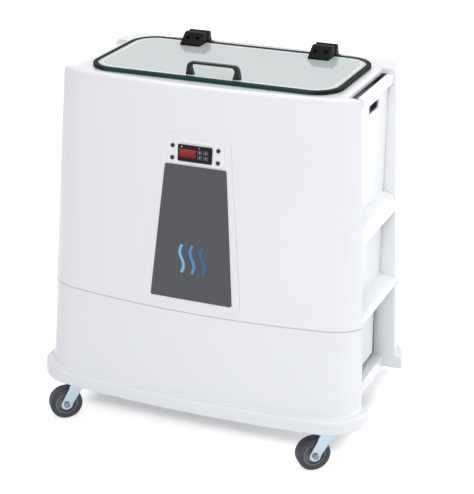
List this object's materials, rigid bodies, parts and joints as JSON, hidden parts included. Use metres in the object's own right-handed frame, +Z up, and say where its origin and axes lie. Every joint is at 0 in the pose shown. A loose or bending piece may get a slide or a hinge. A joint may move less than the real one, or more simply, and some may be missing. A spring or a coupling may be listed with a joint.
{
  "type": "hot pack heater",
  "caption": "Mobile hot pack heater: bow-front moulded cabinet with a hinged glass lid over a heated steel tank, wire rack, thermostat console, side hand rails, drain valve and swivel casters",
  "frame": {"origin": "centre of the bounding box on the floor", "axes": "X to the right seen from the front, Y from front to back, Z up"},
  "size_m": [0.772, 0.48, 0.864],
  "materials": {
    "shell_white": "glossy moulded white plastic with a faint orange peel",
    "base_white": "glossy moulded white plastic",
    "insert_white": "satin moulded white plastic",
    "skirt_grey": "matt pale greenish grey sheet",
    "plate_steel": "dark grey powder coat",
    "stainless": "brushed stainless steel",
    "foam": "matt closed-cell foam",
    "frame_zinc": "zinc plated steel",
    "element_steel": "heat-tinted stainless tube",
    "fitting_brass": "satin brass",
    "pipe_steel": "satin stainless tube",
    "lever_red": "dipped red vinyl",
    "rack_wire": "bright chrome wire",
    "bezel_white": "glossy white plastic",
    "screw_black": "black oxide",
    "case_black": "satin black plastic",
    "window_red": "dark red tinted window",
    "key_black": "matt black rubber",
    "plate_grey": "satin dark grey film",
    "cover_grey": "light grey powder coat",
    "screw_steel": "zinc plated steel",
    "gland_black": "matt black nylon",
    "lid_glass": "clear toughened glass",
    "seal_rubber": "matt black rubber",
    "handle_black": "satin black nylon",
    "washer_grey": "satin light grey nylon",
    "hinge_black": "satin black reinforced nylon",
    "hinge_screw": "black oxide",
    "caster_zinc": "bright zinc plate",
    "hub_grey": "satin grey plastic",
    "tyre_grey": "matt dark grey rubber"
  },
  "bodies": {
    "cabinet": {"upper_shell": "shell_white", "base_moulding": "base_white", "side_panel_left": "insert_white", "side_panel_right": "insert_white", "lower_side_panel_left": "skirt_grey", "lower_side_panel_right": "skirt_grey", "base_plate": "plate_steel", "tank": "stainless", "tank_insulation": "foam", "tank_support_frame": "frame_zinc", "heating_element": "element_steel", "element_bushings": "fitting_brass", "temperature_probe": "fitting_brass", "drain_pipe": "pipe_steel", "drain_valve": "fitting_brass", "pack_rack": "rack_wire", "console_bezel": "bezel_white", "bezel_screws": "screw_black", "controller_case": "case_black", "display_window": "window_red", "front_plate": "plate_grey", "service_cover": "cover_grey", "cover_screws": "screw_steel", "cable_gland": "gland_black", "hinge_base_left": "hinge_black", "hinge_base_right": "hinge_black", "hinge_base_screws": "hinge_screw", "hinge_pins": "hinge_screw", "caster_mounts": "caster_zinc", "caster_bolts": "screw_steel"},
    "lid": {"lid_glass": "lid_glass", "lid_seal": "seal_rubber", "lid_handle": "handle_black", "handle_washers": "washer_grey", "handle_screws": "screw_steel", "hinge_leaf_left": "hinge_black", "hinge_leaf_right": "hinge_black", "hinge_leaf_screws": "hinge_screw", "hinge_clamp_plates": "hinge_black"},
    "drain_lever": {"drain_lever": "lever_red"},
    "key_down": {"key_down": "key_black"},
    "key_up": {"key_up": "key_black"},
    "key_set": {"key_set": "key_black"},
    "key_power": {"key_power": "key_black"},
    "swivel_front_left": {"caster_fork_front_left": "caster_zinc", "caster_axle_front_left": "caster_zinc"},
    "wheel_front_left": {"caster_hub_front_left": "hub_grey", "caster_tyre_front_left": "tyre_grey"},
    "swivel_front_right": {"caster_fork_front_right": "caster_zinc", "caster_axle_front_right": "caster_zinc"},
    "wheel_front_right": {"caster_hub_front_right": "hub_grey", "caster_tyre_front_right": "tyre_grey"},
    "swivel_rear_left": {"caster_fork_rear_left": "caster_zinc", "caster_axle_rear_left": "caster_zinc"},
    "wheel_rear_left": {"caster_hub_rear_left": "hub_grey", "caster_tyre_rear_left": "tyre_grey"},
    "swivel_rear_right": {"caster_fork_rear_right": "caster_zinc", "caster_axle_rear_right": "caster_zinc"},
    "wheel_rear_right": {"caster_hub_rear_right": "hub_grey", "caster_tyre_rear_right": "tyre_grey"}
  },
  "joints": [
    {"name": "lid_hinge", "type": "hinge", "parent": "cabinet", "child": "lid", "pos_m": [0, 0.182, 0.846], "axis": [-1, 0, 0], "range_deg": [0, 100]},
    {"name": "drain_valve_turn", "type": "hinge", "parent": "cabinet", "child": "drain_lever", "pos_m": [-0.336, 0.06, 0.25], "axis": [0, 0, 1], "range_deg": [0, 90]},
    {"name": "key_down_press", "type": "slide", "parent": "cabinet", "child": "key_down", "axis": [0, 0.9938, -0.1113], "range_m": [0, 0.0008], "stiffness_N_per_m": 1000},
    {"name": "key_up_press", "type": "slide", "parent": "cabinet", "child": "key_up", "axis": [0, 0.9938, -0.1113], "range_m": [0, 0.0008], "stiffness_N_per_m": 1000},
    {"name": "key_set_press", "type": "slide", "parent": "cabinet", "child": "key_set", "axis": [0, 0.9938, -0.1113], "range_m": [0, 0.0008], "stiffness_N_per_m": 1000},
    {"name": "key_power_press", "type": "slide", "parent": "cabinet", "child": "key_power", "axis": [0, 0.9938, -0.1113], "range_m": [0, 0.0008], "stiffness_N_per_m": 1000},
    {"name": "swivel_front_left_turn", "type": "hinge", "parent": "cabinet", "child": "swivel_front_left", "pos_m": [-0.305, -0.135, 0.1], "axis": [0, 0, 1], "continuous": true},
    {"name": "wheel_front_left_roll", "type": "hinge", "parent": "swivel_front_left", "child": "wheel_front_left", "pos_m": [-0.3373, -0.16185, 0.0375], "axis": [-0.6392, 0.769, 0], "continuous": true},
    {"name": "swivel_front_right_turn", "type": "hinge", "parent": "cabinet", "child": "swivel_front_right", "pos_m": [0.305, -0.135, 0.1], "axis": [0, 0, 1], "continuous": true},
    {"name": "wheel_front_right_roll", "type": "hinge", "parent": "swivel_front_right", "child": "wheel_front_right", "pos_m": [0.2727, -0.16185, 0.0375], "axis": [-0.6392, 0.769, 0], "continuous": true},
    {"name": "swivel_rear_left_turn", "type": "hinge", "parent": "cabinet", "child": "swivel_rear_left", "pos_m": [-0.262, 0.144, 0.1], "axis": [0, 0, 1], "continuous": true},
    {"name": "wheel_rear_left_roll", "type": "hinge", "parent": "swivel_rear_left", "child": "wheel_rear_left", "pos_m": [-0.2943, 0.11715, 0.0375], "axis": [-0.6392, 0.769, 0], "continuous": true},
    {"name": "swivel_rear_right_turn", "type": "hinge", "parent": "cabinet", "child": "swivel_rear_right", "pos_m": [0.262, 0.144, 0.1], "axis": [0, 0, 1], "continuous": true},
    {"name": "wheel_rear_right_roll", "type": "hinge", "parent": "swivel_rear_right", "child": "wheel_rear_right", "pos_m": [0.2297, 0.11715, 0.0375], "axis": [-0.6392, 0.769, 0], "continuous": true}
  ]
}
